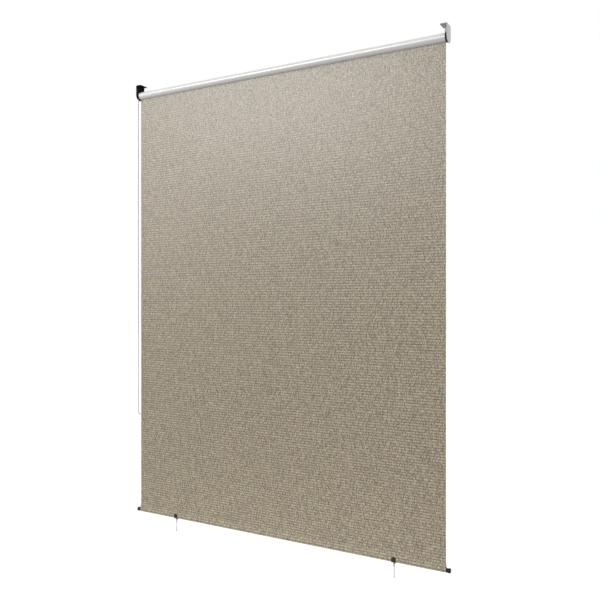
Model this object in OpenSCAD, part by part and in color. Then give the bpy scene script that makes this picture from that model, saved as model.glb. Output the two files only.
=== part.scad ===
// Outdoor roller shade: a knitted sun cloth on an aluminium roller tube, worked by an endless bead chain.
// The origin lies on the ceiling plane, midway between the four bracket screws.
// X runs along the roller from the chain end to the idle end, Y from front to back, and Z is up.

/* [Cloth] */
// Width of the knitted cloth
cloth_w = 1749; // [900:1:2400]
// Distance from a side edge of the cloth to the end of the tube
cloth_inset = 1; // [0.5:0.5:20]
// Thickness of the cloth between its rows
cloth_t = 0.9; // [0.6:0.1:1.2]
// Distance from one knitted row to the next
row_pitch = 12.5; // [10:0.5:25]
// Width of the flat top of a row
row_top = 5; // [3:0.5:6]
// Width of each sloping side of a row
row_side = 2; // [1:0.25:2]
// How far a row stands out of the cloth on each face
row_rise = 0.5; // [0.2:0.1:0.8]

/* [Roller tube] */
// Drop from the ceiling plane to the roller's axis
axis_drop = 54; // [46:1:90]
// Outside diameter of the roller tube
tube_d = 40; // [38:0.5:48]
// Wall of the roller tube
tube_wall = 1.2; // [1:0.1:2]
// Diameter of the rod that holds the cloth's top edge in the tube
rod_d = 3; // [2:0.5:4]
// Thickness of the cloth's loop around that rod
loop_t = 0.7; // [0.5:0.1:1]

/* [Brackets] */
// Size of a bracket from front to back, and diameter of its round lower end
bracket_depth = 56; // [54:1:70]
// Height of the middle of that round end above the roller's axis
end_rise = 2; // [0.5:0.5:5]
// Thickness of a bracket's outer plate
plate_t = 2.2; // [1.6:0.1:4]
// Depth of the hollow upper body of a bracket
body_t = 9.5; // [7:0.5:10.5]
// Height of the upper body's lower edge above the roller's axis
body_low = 14; // [8:1:18]
// Height of the upper body's top edge above the roller's axis
body_top = 32; // [30:1:40]
// Wall of the upper body and of its ribs
rim_t = 2; // [1.4:0.1:3]
// Distance of each rib between the upper body and the flange from the middle
rib_y = 9; // [5:0.5:14]
// Length of the ceiling flange along the roller
flange_l = 32; // [26:1:60]
// Thickness of the ceiling flange
flange_t = 2.2; // [1.6:0.2:5]
// Corner radius of the ceiling flange
flange_r = 2.5; // [1:0.5:10]
// Diameter of a screw hole
screw_d = 4.5; // [3.5:0.1:6]
// Distance between the two screws of a bracket
screw_gap = 32; // [20:1:40]
// Distance from a bracket's outer face to its screws
screw_in = 20; // [16:0.5:22]

/* [Chain drive] */
// Diameter of a chain bead
bead_d = 5; // [4:0.25:5.5]
// Distance from one bead to the next
chain_pitch = 12; // [11.5:0.25:14]
// Diameter of the cord inside the chain
chain_cord_d = 1.8; // [1.2:0.1:2]
// Number of bead pockets on the chain wheel
pockets = 8; // [8:1:9]
// Number of bead spacings on a straight run of the chain
run_beads = 147; // [40:1:180]
// Thickness of the chain wheel beside a bead pocket
wheel_side = 0.8; // [0.6:0.1:1.5]
// Wall of the chain housing around the beads
housing_wall = 2.8; // [2:0.1:4]
// Diameter of the fixed clutch post
post_d = 12; // [10:0.5:13]
// Side of the square key that stops the post from turning
key_side = 6; // [4:0.5:7]
// Length of the square key
key_l = 5; // [3:0.5:8]
// Thickness of the crown's flange at the end of the tube
crown_flange_t = 1.4; // [1:0.1:3]
// Length of the wheel's sleeve inside the tube
sleeve_l = 14; // [10:1:24]
// Wall of the wheel's sleeve
sleeve_t = 2.9; // [2.2:0.1:3.2]
// Diameter of the wrap spring wire
wrap_wire_d = 1.2; // [0.8:0.1:1.4]
// Thickness of the crown's inner end wall
crown_end_t = 4; // [3:0.5:8]
// Thickness of the retaining ring on the post
retainer_t = 1.2; // [0.8:0.1:2]

/* [Idle end] */
// Diameter of the black disc on the idle plug
idle_disc_d = 45; // [40:0.5:46]
// Length of the idle plug inside the tube
plug_l = 38; // [32:1:70]
// Diameter of the sprung pin
pin_d = 8; // [6:0.5:9]
// Length of the bracket's socket for the pin
socket_l = 4.8; // [3:0.2:5]
// Wall of that socket
socket_t = 2.4; // [1.6:0.1:3]
// Thickness of the pin's collar
collar_t = 3; // [2:0.5:5]
// Diameter of the idle spring's wire
idle_wire_d = 1; // [0.7:0.1:1.3]
// Thickness of the disc that closes the spring chamber
seat_t = 4; // [3:0.5:6]

/* [Bottom rail] */
// Drop from the roller's axis to the axis of the bottom bar
rail_drop = 2310; // [800:1:3000]
// Outside diameter of the bottom bar
bar_d = 18; // [14:0.5:24]
// Wall of the bottom bar
bar_wall = 1.2; // [0.8:0.1:2.5]
// Height of the hem's seam above the bar's axis
hem_seam = 30; // [26:1:60]
// Diameter of an end cap
cap_d = 21; // [20:0.5:25]
// Diameter of the collar of an end cap, next to the bar
cap_collar_d = 18.5; // [17:0.25:20]
// How far an end cap stands out past the cloth
cap_out = 20.5; // [16:0.5:30]
// Length of the end disc of an end cap
cap_disc_l = 9; // [6:0.5:11]
// Width of the groove between that disc and the collar of the cap
cap_groove_w = 1.6; // [0.8:0.1:2.5]
// Rounding of an end cap's outer edge
cap_round = 2.5; // [0.5:0.25:5]
// Length of an end cap's plug inside the bar
cap_plug_l = 22; // [12:1:40]

/* [Tie-downs] */
// Distance from the cloth's left edge to the middle of the left clip
left_clip_in = 255; // [60:1:420]
// Distance from the cloth's right edge to the middle of the right clip
right_clip_in = 240; // [60:1:420]
// Width of a clip along the bar
clip_w = 20; // [12:0.5:40]
// Thickness of a clip
clip_t = 1.8; // [1.2:0.1:3]
// Length of a clip's two legs above its round part
clip_leg = 8; // [3:0.5:12]
// Thickness of a clip's eye
eye_t = 3; // [2:0.1:3.4]
// Diameter of the hole in a clip's eye
eye_hole_d = 3.6; // [3.4:0.1:4]
// Diameter of the hook's wire
hook_wire_d = 2; // [1.6:0.1:2.2]
// Radius of a hook's two bends
hook_r = 3.3; // [3.1:0.1:5]
// Diameter of a tie cord
tie_d = 2.6; // [1.2:0.1:3]
// Diameter of a knot in a tie cord
knot_d = 5.5; // [5:0.1:7]

/* [Fits] */
// Running clearance of a pin or post in its bore, on the radius
run_clear = 0.1; // [0.05:0.01:0.1]
// Clearance between pieces that move past each other or lie loosely together
side_gap = 0.3; // [0.2:0.05:0.6]

/* [Hidden] */
$fn = 48;

tube_r = tube_d / 2;
tube_l = cloth_w + 2 * cloth_inset;
bracket_r = bracket_depth / 2;

// The groove in the tube: the rod, the cloth's loop around it and the channel around both.
loop_in_r = rod_d / 2 + run_clear;
loop_out_r = loop_in_r + loop_t;
channel_r = loop_out_r + side_gap;
channel_out_r = channel_r + tube_wall;
channel_z = -(tube_r - tube_wall - channel_r);
slot_w = cloth_t + 2 * side_gap;

// The chain wheel and its housing.
bead_r = bead_d / 2;
chain_r = pockets * chain_pitch / (2 * PI);
pocket_r = bead_r + run_clear;
wheel_r = chain_r + bead_r / 2;
wheel_w = 2 * (pocket_r + wheel_side);
cord_slot_w = chain_cord_d + 2 * run_clear;
cavity_r = chain_r + bead_r + side_gap;
housing_r = cavity_r + housing_wall;
run_l = run_beads * chain_pitch;
bead_steps = 4;
arc_beads = pockets / 2;

// Distances inward from a bracket's outer face.
wheel_u = plate_t + side_gap;
wheel_end_u = wheel_u + wheel_w;
chain_u = wheel_u + wheel_w / 2;
crown_u = wheel_end_u + side_gap;
tube_u = crown_u + crown_flange_t;
bracket_x = tube_l / 2 + tube_u;

// The spring clutch inside the tube.
post_r = post_d / 2;
post_bore_r = post_r + run_clear;
sleeve_r = post_bore_r + sleeve_t;
sleeve_end_u = tube_u + sleeve_l;
crown_bore_r = sleeve_r + side_gap;
coil_turns = 3.5;
coil_pitch = wrap_wire_d * 1.15;
coil_r = post_r + run_clear + wrap_wire_d / 2;
coil_l = coil_turns * coil_pitch;
coil_gap = wrap_wire_d;
coil_steps = 18;
finger_in_r = coil_r + wrap_wire_d / 2 + side_gap;
finger_arc = 100;
finger_l = 2 * coil_l + 3 * coil_gap + wrap_wire_d;
finger_end_u = sleeve_end_u + side_gap + finger_l;
crown_end_u = finger_end_u + side_gap + crown_end_t;
retainer_u = crown_end_u + side_gap;
post_end_u = retainer_u + 2 * retainer_t;
groove_depth = 0.8;
retainer_rim = 2.4;

// The ribbed outside of the two pieces that carry the tube.
insert_r = tube_r - tube_wall - run_clear;
insert_ribs = 12;
insert_rib_h = 1.5;
insert_rib_w = 2.4;

// The idle end.
idle_disc_r = idle_disc_d / 2;
pin_r = pin_d / 2;
pin_bore_r = pin_r + run_clear;
socket_r = pin_bore_r + socket_t;
socket_end_u = plate_t + socket_l;
plug_end_u = tube_u + plug_l;
chamber_u = tube_u + 3;
collar_r = pin_r + 2.2;
chamber_r = collar_r + side_gap;
collar_end_u = chamber_u + side_gap + collar_t;
spring_guide_r = pin_r - 1.2;
spring_guide_l = 10;
idle_coil_r = spring_guide_r + side_gap + idle_wire_d / 2;
idle_coil_l = plug_end_u - seat_t - collar_end_u - idle_wire_d;
idle_turns = 7;
pin_chamfer = 0.8;

// The upper body of a bracket clears the larger of the two round ends under it.
seat_r = max(housing_r, idle_disc_r, tube_r) + 1;

// The cloth panel between the tube and the hem, measured from the roller's axis.
panel_top = channel_z - (loop_in_r + loop_out_r) / 2;
rows_top = -tube_r - 3;
panel_low = -(rail_drop - hem_seam - side_gap);
row_h = 2 * row_side + row_top;
panel_rows = floor((rows_top - panel_low) / row_pitch);

// The hem around the bottom bar, measured from the bar's axis.
bar_r = bar_d / 2;
hem_in_r = bar_r + side_gap;
hem_out_r = hem_in_r + cloth_t;
hem_join = 5;
bar_end = cloth_w / 2 + 1;
cap_end = cloth_w / 2 + cap_out;

// The clips, hooks and tie cords, measured from the bar's axis.
left_clip_x = left_clip_in - cloth_w / 2;
right_clip_x = cloth_w / 2 - right_clip_in;
clip_in_r = hem_out_r + row_rise + side_gap;
clip_out_r = clip_in_r + clip_t;
clip_step = 0.25;
eye_r = eye_hole_d / 2 + 2;
eye_z = -(clip_out_r + eye_r - 1);
hook_sweep = 300;
hook_end_z = eye_z - 4 * hook_r;

// Route of each tie cord, measured from the lowest point of its hook's wire.
left_tie_route = [[0, 0, -2], [0, 0, -4], [0, 0, -6], [0, 0, -9], [0, 0, -12], [0, 0, -15], [-0.1, 0, -18],
    [-0.2, 0, -21], [-0.3, 0, -24], [-0.5, 0, -27], [-0.7, 0, -30], [-0.9, 0, -33], [-1.2, 0, -36],
    [-1.5, 0, -40], [-1.8, 0, -44], [-2, 0, -48]];
right_tie_route = [[0, 0, -2], [0, 0, -4], [0, 0, -6], [0, 0, -9], [0, 0, -12], [0.1, 0, -15], [0.2, 0, -18],
    [0.3, 0, -21], [0.4, 0, -24], [0.4, 0, -27], [0.4, 0, -30], [0.3, 0, -33], [0.2, 0, -36],
    [0.1, 0, -40], [0, 0, -44], [0, 0, -48]];
tie_sides = 8;

// Placing

// Roller's axis
module at_axis() {
    translate([0, 0, -axis_drop]) children();
}

// Chain end: x is counted inward from the left bracket's outer face, on the roller's axis
module chain_end() {
    translate([-bracket_x, 0, -axis_drop]) children();
}

// Idle end: the chain end seen in a mirror
module idle_end() {
    mirror([1, 0, 0]) chain_end() children();
}

// Axis of the bottom bar
module at_bar() {
    translate([0, 0, -axis_drop - rail_drop]) children();
}

// A shape that is turned about Z is laid along X, starting at x = u
module on_axis(u) {
    translate([u, 0, 0]) rotate([0, 90, 0]) children();
}

// Round rod along X from u0 to u1
module rod(r, u0, u1) {
    on_axis(u0) cylinder(r = r, h = u1 - u0);
}

// A flat outline in Y and Z is drawn out along X
module along_x(l) {
    rotate([90, 0, 90]) linear_extrude(l) children();
}

// The same, centred on x = 0
module across_x(l) {
    translate([-l / 2, 0, 0]) along_x(l) children();
}

// Sweeping a round wire or cord along points

function unit(v) = v / norm(v);
function heading(path, i) = unit(path[min(i + 1, len(path) - 1)] - path[max(i - 1, 0)]);
function ring(path, i, r, sides, up) =
    let (t = heading(path, i), a = unit(cross(up, t)), b = cross(t, a))
    [for (k = [0:sides - 1]) path[i] + r * (cos(360 * k / sides) * a + sin(360 * k / sides) * b)];

module tube_along(path, r, sides, up) {
    last = len(path) - 1;
    start_face = [for (k = [0:sides - 1]) k];
    end_face = [for (k = [sides - 1:-1:0]) last * sides + k];
    walls = [for (i = [0:last - 1], k = [0:sides - 1])
        let (n = (k + 1) % sides, here = i * sides, next = here + sides)
        each [[here + k, next + k, next + n], [here + k, next + n, here + n]]];
    polyhedron(points = [for (i = [0:last]) each ring(path, i, r, sides, up)],
        faces = concat([start_face], walls, [end_face]));
}

// Points of a coil about Z
function coil(r, l, turns, steps) =
    [for (k = [0:turns * steps])
        [r * cos(360 * k / steps), r * sin(360 * k / steps), l * k / (turns * steps)]];

// Brackets

module bracket_outline() {
    translate([0, end_rise]) circle(r = bracket_r);
    translate([-bracket_r, end_rise]) square([bracket_depth, axis_drop - end_rise]);
}

// Upper body as seen from the side, with its walls moved in by t
module body_outline(t) {
    difference() {
        translate([-bracket_r + t, body_low + t])
            square([bracket_depth - 2 * t, body_top - body_low - 2 * t]);
        circle(r = seat_r + t);
    }
}

module flange_outline() {
    square([flange_l - flange_r, bracket_depth]);
    translate([0, flange_r]) square([flange_l, bracket_depth - 2 * flange_r]);
    for (y = [flange_r, bracket_depth - flange_r]) translate([flange_l - flange_r, y]) circle(r = flange_r);
}

module bracket_shell() {
    difference() {
        union() {
            along_x(plate_t) bracket_outline();
            along_x(body_t) difference() {
                body_outline(0);
                body_outline(rim_t);
            }
            along_x(body_t)
                translate([bracket_depth - bracket_r - rim_t, body_top - rim_t])
                    square([rim_t, axis_drop - flange_t / 2 - body_top + rim_t]);
            along_x(body_t - rim_t) difference() {
                for (y = [-rib_y, rib_y])
                    translate([y - rim_t / 2, 0]) square([rim_t, axis_drop - flange_t / 2]);
                circle(r = seat_r + rim_t / 2);
            }
            translate([0, -bracket_r, axis_drop - flange_t]) linear_extrude(flange_t) flange_outline();
        }
        for (y = [-screw_gap / 2, screw_gap / 2])
            translate([screw_in, y, axis_drop - 2 * flange_t]) cylinder(d = screw_d, h = 3 * flange_t);
    }
}

// Square key on the inner face holds the clutch post
module left_bracket() {
    color([0.06, 0.06, 0.06]) chain_end() {
        bracket_shell();
        translate([plate_t, -key_side / 2, -key_side / 2]) cube([key_l, key_side, key_side]);
    }
}

// Round blind socket on the inner face holds the sprung pin
module right_bracket() {
    color([0.75, 0.75, 0.74]) idle_end() {
        bracket_shell();
        difference() {
            rod(socket_r, plate_t, socket_end_u);
            rod(pin_bore_r, plate_t, socket_end_u + 1);
        }
    }
}

// Chain drive

// Ring around the chain wheel, open below where the two runs of the chain leave it
module chain_housing() {
    color([0.06, 0.06, 0.06]) chain_end() difference() {
        rod(housing_r, plate_t, wheel_end_u);
        rod(cavity_r, plate_t - 1, wheel_end_u + 1);
        for (y = [-chain_r, chain_r])
            translate([chain_u - bead_r - side_gap, y - bead_r - side_gap, -2 * housing_r])
                cube([bead_d + 2 * side_gap, bead_d + 2 * side_gap, 2 * housing_r]);
    }
}

module clutch_post() {
    color([0.85, 0.85, 0.83]) chain_end() difference() {
        rod(post_r, plate_t, post_end_u);
        translate([plate_t - 1, -key_side / 2 - run_clear, -key_side / 2 - run_clear])
            cube([key_l + 1 + run_clear, key_side + 2 * run_clear, key_side + 2 * run_clear]);
        difference() {
            rod(post_r + 1, retainer_u, retainer_u + retainer_t);
            rod(post_r - groove_depth, retainer_u - 1, retainer_u + retainer_t + 1);
        }
    }
}

// Snap ring in the post's groove
module post_retainer() {
    inner_r = post_r - groove_depth + run_clear / 2;
    gap = 1.6 * inner_r;
    color([0.35, 0.35, 0.36]) chain_end() difference() {
        rod(post_r + retainer_rim, retainer_u + run_clear / 2, retainer_u + retainer_t - run_clear / 2);
        rod(inner_r, retainer_u - 1, retainer_u + retainer_t + 1);
        translate([retainer_u - 1, -gap / 2, -post_r - 2 * retainer_rim])
            cube([retainer_t + 2, gap, post_r + 2 * retainer_rim]);
    }
}

// One arm of the clutch: part of a ring about the axis
module finger(r, l, turn) {
    rotate([0, 0, turn - finger_arc / 2]) rotate_extrude(angle = finger_arc)
        translate([finger_in_r, 0]) square([r - finger_in_r, l]);
}

// Sprocket with a pocket for every bead, and the sleeve that releases the wrap springs
module chain_wheel() {
    color([0.1, 0.1, 0.1]) chain_end() difference() {
        union() {
            rod(wheel_r, wheel_u, wheel_end_u);
            rod(sleeve_r, wheel_u, sleeve_end_u);
            on_axis(sleeve_end_u - 1) finger(sleeve_r - run_clear, finger_l + 1, 90);
        }
        rod(post_bore_r, wheel_u - 1, finger_end_u + 1);
        on_axis(chain_u - cord_slot_w / 2) difference() {
            cylinder(r = wheel_r + 1, h = cord_slot_w);
            cylinder(r = chain_r - cord_slot_w / 2, h = cord_slot_w);
        }
        on_axis(chain_u) for (i = [0:pockets - 1])
            rotate([0, 0, i * 360 / pockets]) translate([chain_r - pocket_r, 0, 0])
                rotate([0, 90, 0]) cylinder(r = pocket_r, h = 3 * pocket_r);
    }
}

function bead_outline(z) =
    let (from = 180 - asin(chain_cord_d / bead_d), step = (2 * from - 180) / bead_steps)
    [for (k = [0:bead_steps]) [bead_r * sin(from - k * step), z + bead_r * cos(from - k * step)]];

// Straight run of beads along Z, between the two beads at its ends
module chain_run() {
    cord_r = chain_cord_d / 2;
    rotate_extrude() polygon(concat([[0, 0], [cord_r, 0]],
        [for (i = [1:run_beads - 1]) each bead_outline(i * chain_pitch)],
        [[cord_r, run_l], [0, run_l]]));
}

// Half a turn of the chain about X, over the top
module chain_bend() {
    rotate([90, 0, 90]) {
        rotate_extrude(angle = 180) translate([chain_r, 0]) circle(d = chain_cord_d);
        for (i = [0:arc_beads])
            rotate([0, 0, i * 180 / arc_beads]) translate([chain_r, 0, 0]) sphere(d = bead_d);
    }
}

module bead_chain() {
    color([0.62, 0.62, 0.62]) chain_end() translate([chain_u, 0, 0]) {
        chain_bend();
        translate([0, 0, -run_l]) {
            rotate([180, 0, 0]) chain_bend();
            for (y = [-chain_r, chain_r]) translate([0, y, 0]) chain_run();
        }
    }
}

// Ribbed body that fits the tube, from inside its flange to x = u
module tube_insert(u) {
    from = tube_u - crown_flange_t / 2;
    rod(insert_r - insert_rib_h, from, u);
    intersection() {
        rod(insert_r, from, u);
        for (i = [0:insert_ribs - 1]) rotate([(i + 0.5) * 360 / insert_ribs, 0, 0])
            translate([from, -insert_rib_w / 2, 0]) cube([u - from, insert_rib_w, tube_r]);
    }
}

// Room for the tube's channel along such a body, with a little relief in its flange
module channel_notch(u) {
    from = tube_u - side_gap;
    translate([0, 0, channel_z]) rod(channel_out_r + side_gap, from, u + 1);
    translate([from, -channel_out_r - side_gap, channel_z - tube_r])
        cube([u - from + 1, 2 * (channel_out_r + side_gap), tube_r]);
}

// Crown: turns the tube, and runs on the post at its inner end
module drive_crown() {
    color([0.12, 0.12, 0.12]) chain_end() difference() {
        union() {
            tube_insert(crown_end_u);
            rod(tube_r, crown_u, tube_u);
        }
        channel_notch(crown_end_u);
        difference() {
            rod(crown_bore_r, crown_u - 1, finger_end_u + side_gap);
            on_axis(sleeve_end_u + side_gap) finger(crown_bore_r + 1, finger_l + 2 * side_gap, 270);
        }
        rod(post_bore_r, crown_u - 1, crown_end_u + 1);
    }
}

// Two springs that grip the post, each with its two ends bent outward between the fingers
module wrap_springs() {
    tang_r = crown_bore_r - side_gap - wrap_wire_d / 2;
    tang = tang_r / coil_r;
    turns = coil(coil_r, coil_l, coil_turns, coil_steps);
    last = len(turns) - 1;
    path = concat([[turns[0].x * tang, turns[0].y * tang, turns[0].z]], turns,
        [[turns[last].x * tang, turns[last].y * tang, turns[last].z]]);
    color([0.45, 0.45, 0.46]) chain_end()
        for (i = [0, 1])
            on_axis(sleeve_end_u + coil_gap + wrap_wire_d / 2 + i * (coil_l + coil_gap))
                tube_along(path, wrap_wire_d / 2, 6, [0, 0, 1]);
}

// Roller

module tube_section() {
    difference() {
        union() {
            difference() {
                circle(r = tube_r);
                circle(r = tube_r - tube_wall);
            }
            intersection() {
                circle(r = tube_r);
                translate([0, channel_z]) circle(r = channel_out_r);
            }
        }
        translate([0, channel_z]) circle(r = channel_r);
        translate([-slot_w / 2, channel_z - tube_r]) square([slot_w, tube_r]);
    }
}

module roller_tube() {
    color([0.86, 0.86, 0.85]) at_axis() across_x(tube_l) tube_section();
}

module cloth_rod() {
    color([0.92, 0.92, 0.9]) at_axis() translate([0, 0, channel_z])
        rod(rod_d / 2, -cloth_w / 2, cloth_w / 2);
}

// Idle end

// Plug with the black disc, a passage for the pin and a chamber for its spring
module idle_plug() {
    color([0.07, 0.07, 0.07]) idle_end() difference() {
        union() {
            tube_insert(plug_end_u);
            rod(idle_disc_r, wheel_u, tube_u);
        }
        channel_notch(plug_end_u);
        rod(socket_r + side_gap, wheel_u - 1, socket_end_u + side_gap);
        rod(pin_bore_r, wheel_u - 1, plug_end_u);
        rod(chamber_r, chamber_u, plug_end_u + 1);
    }
}

module spring_seat() {
    color([0.8, 0.8, 0.78]) idle_end() difference() {
        rod(chamber_r - run_clear, plug_end_u - seat_t, plug_end_u);
        rod(spring_guide_r, plug_end_u - seat_t / 2, plug_end_u + 1);
    }
}

module idle_pin() {
    color([0.55, 0.56, 0.57]) idle_end() {
        on_axis(wheel_u) cylinder(r1 = pin_r - pin_chamfer, r2 = pin_r, h = pin_chamfer);
        rod(pin_r, wheel_u + pin_chamfer, collar_end_u);
        rod(collar_r, chamber_u + side_gap, collar_end_u);
        rod(spring_guide_r, collar_end_u - 1, collar_end_u + spring_guide_l);
    }
}

module idle_spring() {
    color([0.45, 0.45, 0.46]) idle_end() on_axis(collar_end_u + idle_wire_d / 2)
        tube_along(coil(idle_coil_r, idle_coil_l, idle_turns, coil_steps), idle_wire_d / 2, 6, [0, 0, 1]);
}

// Cloth

// One face of the panel from its top row to its lowest: side is -1 for the front and 1 for the back
function panel_face(side) =
    let (y = side * cloth_t / 2, crest = side * (cloth_t / 2 + row_rise))
    [for (i = [0:panel_rows - 1])
        let (z = rows_top - i * row_pitch)
        each [[y, z], [crest, z - row_side], [crest, z - row_side - row_top], [y, z - row_h]]];

function backward(list) = [for (i = [len(list) - 1:-1:0]) list[i]];

// Panel with its knitted rows and the loop that holds it in the tube
module cloth() {
    half = cloth_t / 2;
    color([0.61, 0.575, 0.505]) at_axis() across_x(cloth_w) {
        polygon(concat([[-half, panel_top]], panel_face(-1), [[-half, panel_low], [half, panel_low]],
            backward(panel_face(1)), [[half, panel_top]]));
        translate([0, channel_z]) difference() {
            circle(r = loop_out_r);
            circle(r = loop_in_r);
        }
    }
}

// Front half of the hem's outline: a flank from the seam at height top down to a circle, then the circle.
// It rises and falls with the rows when rise is over 0.
function flank_turn(r, top) = acos(r / top);
function flank_l(r, top) = sqrt(top * top - r * r);
function row_bump(s) = (s % row_pitch) < row_pitch / 2 ? 1 : 0;
function hem_half(r, top, half_w, rise) =
    let (turn = flank_turn(r, top), flank = flank_l(r, top),
        whole = flank + r * (180 - turn) * PI / 180, step = row_pitch / 6)
    [for (s = [0:step:whole])
        let (a = turn + max(0, s - flank) / r * 180 / PI, left = max(0, flank - s),
            add = r + rise * row_bump(s))
        [-add * sin(a) + left * cos(turn) - half_w * left / flank, add * cos(a) + left * sin(turn)]];
function mirrored(list) = [for (p = backward(list)) [-p.x, p.y]];
function hem_outline(r, top, half_w, rise) =
    let (front = hem_half(r, top, half_w, rise)) concat(front, mirrored(front));

// Pocket of cloth around the bottom bar, closed by a seam above it
module hem_pocket() {
    color([0.6, 0.565, 0.495]) at_bar() across_x(cloth_w) difference() {
        polygon(hem_outline(hem_out_r, hem_seam, cloth_t, row_rise));
        polygon(hem_outline(hem_in_r, hem_seam - hem_join, 0.05, 0));
    }
}

// Bottom rail

module bottom_bar() {
    color([0.8, 0.8, 0.79]) at_bar() difference() {
        rod(bar_r, -bar_end, bar_end);
        rod(bar_r - bar_wall, -bar_end - 1, bar_end + 1);
    }
}

// Head outside the bar, facing left: a collar, a groove and a rounded disc
// A ribbed plug holds it in the bar
module end_cap() {
    head_l = cap_end - bar_end;
    disc_z = head_l - cap_disc_l;
    plug_r = bar_r - bar_wall - run_clear;
    on_axis(-bar_end) rotate([180, 0, 0]) {
        rotate_extrude() {
            square([cap_collar_d / 2, disc_z - cap_groove_w]);
            square([cap_collar_d / 2 - cap_groove_w / 2, disc_z + cap_disc_l / 2]);
            translate([0, disc_z]) square([cap_d / 2, cap_disc_l - cap_round]);
            translate([0, disc_z]) square([cap_d / 2 - cap_round, cap_disc_l]);
            translate([cap_d / 2 - cap_round, head_l - cap_round]) intersection() {
                circle(r = cap_round);
                square(cap_round);
            }
        }
        translate([0, 0, -cap_plug_l]) {
            cylinder(r = plug_r - 1, h = cap_plug_l);
            for (i = [1:4]) translate([0, 0, i * cap_plug_l / 5]) cylinder(r = plug_r, h = cap_plug_l / 12);
        }
    }
}

module left_end_cap() {
    color([0.08, 0.08, 0.08]) at_bar() end_cap();
}

module right_end_cap() {
    color([0.08, 0.08, 0.08]) at_bar() mirror([1, 0, 0]) end_cap();
}

// Tie-downs

// Spring clip: a round part under the hem and a leg up each side of it
module clip_outline() {
    turn = flank_turn(clip_in_r, hem_seam);
    reach = 4 * clip_out_r;
    difference() {
        circle(r = clip_out_r);
        circle(r = clip_in_r);
        polygon([[0, 0], [-reach * sin(turn), reach * cos(turn)], [-reach * sin(turn), reach],
            [reach * sin(turn), reach], [reach * sin(turn), reach * cos(turn)]]);
    }
    for (side = [0, 1]) mirror([side, 0]) rotate(90 - turn) {
        translate([clip_in_r + clip_step, -clip_t]) square([clip_t - 2 * clip_step, clip_leg + clip_t]);
        translate([clip_in_r + clip_t / 2, clip_leg]) circle(d = clip_t);
    }
}

module eye_outline() {
    difference() {
        union() {
            translate([0, eye_z]) circle(r = eye_r);
            translate([-eye_r, eye_z]) square([2 * eye_r, -eye_z - clip_in_r - clip_t / 2]);
        }
        translate([0, eye_z]) circle(d = eye_hole_d);
        circle(r = clip_in_r);
    }
}

module clip() {
    across_x(clip_w) clip_outline();
    across_x(eye_t) eye_outline();
}

// Bend of the hook about Y, its wire starting at the angle from
module hook_bend(from) {
    rotate([90, 0, 0]) rotate([0, 0, from]) rotate_extrude(angle = hook_sweep)
        translate([hook_r, 0]) circle(d = hook_wire_d);
}

// Wire hook in the form of an S, hung in the clip's eye
module hook() {
    translate([0, 0, eye_z - hook_r]) hook_bend(-90);
    translate([0, 0, eye_z - 3 * hook_r]) hook_bend(90);
}

// Knot tied round the hook's wire, and the knot at the cord's loose end
module tie_knots(route) {
    foot = route[len(route) - 1];
    bore_d = tie_d + 4 * run_clear;
    translate([0, 0, hook_end_z]) {
        difference() {
            translate([0, 0, route[0].z + 1]) sphere(d = knot_d);
            translate([0, 0, hook_r]) rotate([90, 0, 0]) rotate_extrude()
                translate([hook_r, 0]) circle(d = hook_wire_d + 2 * run_clear);
            translate([0, 0, route[0].z - knot_d]) cylinder(d = bore_d, h = knot_d + run_clear);
        }
        translate(foot) difference() {
            translate([0, 0, -knot_d / 2 + 1]) sphere(d = knot_d);
            translate([0, 0, -run_clear]) cylinder(d = bore_d, h = knot_d);
        }
    }
}

module tie_cord(route) {
    translate([0, 0, hook_end_z]) tube_along(route, tie_d / 2, tie_sides, [1, 0, 0]);
}

module left_clip() {
    color([0.07, 0.07, 0.07]) at_bar() translate([left_clip_x, 0, 0]) clip();
}

module right_clip() {
    color([0.07, 0.07, 0.07]) at_bar() translate([right_clip_x, 0, 0]) clip();
}

module left_hook() {
    color([0.2, 0.2, 0.2]) at_bar() translate([left_clip_x, 0, 0]) hook();
}

module right_hook() {
    color([0.2, 0.2, 0.2]) at_bar() translate([right_clip_x, 0, 0]) hook();
}

module left_tie_cord() {
    color([0.82, 0.8, 0.76]) at_bar() translate([left_clip_x, 0, 0]) tie_cord(left_tie_route);
}

module right_tie_cord() {
    color([0.82, 0.8, 0.76]) at_bar() translate([right_clip_x, 0, 0]) tie_cord(right_tie_route);
}

module left_tie_knots() {
    color([0.82, 0.8, 0.76]) at_bar() translate([left_clip_x, 0, 0]) tie_knots(left_tie_route);
}

module right_tie_knots() {
    color([0.82, 0.8, 0.76]) at_bar() translate([right_clip_x, 0, 0]) tie_knots(right_tie_route);
}

left_bracket();
right_bracket();
chain_housing();
clutch_post();
post_retainer();
bead_chain();
cloth();
roller_tube();
cloth_rod();
chain_wheel();
drive_crown();
wrap_springs();
idle_plug();
spring_seat();
idle_pin();
idle_spring();
bottom_bar();
left_end_cap();
right_end_cap();
hem_pocket();
left_clip();
right_clip();
left_hook();
right_hook();
left_tie_cord();
right_tie_cord();
left_tie_knots();
right_tie_knots();
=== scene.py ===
"""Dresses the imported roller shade: knitted cloth, bead chain, tie cords, finishes, camera and light."""

import logging
import math
from dataclasses import dataclass
from enum import Enum
from typing import Any, ClassVar

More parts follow.
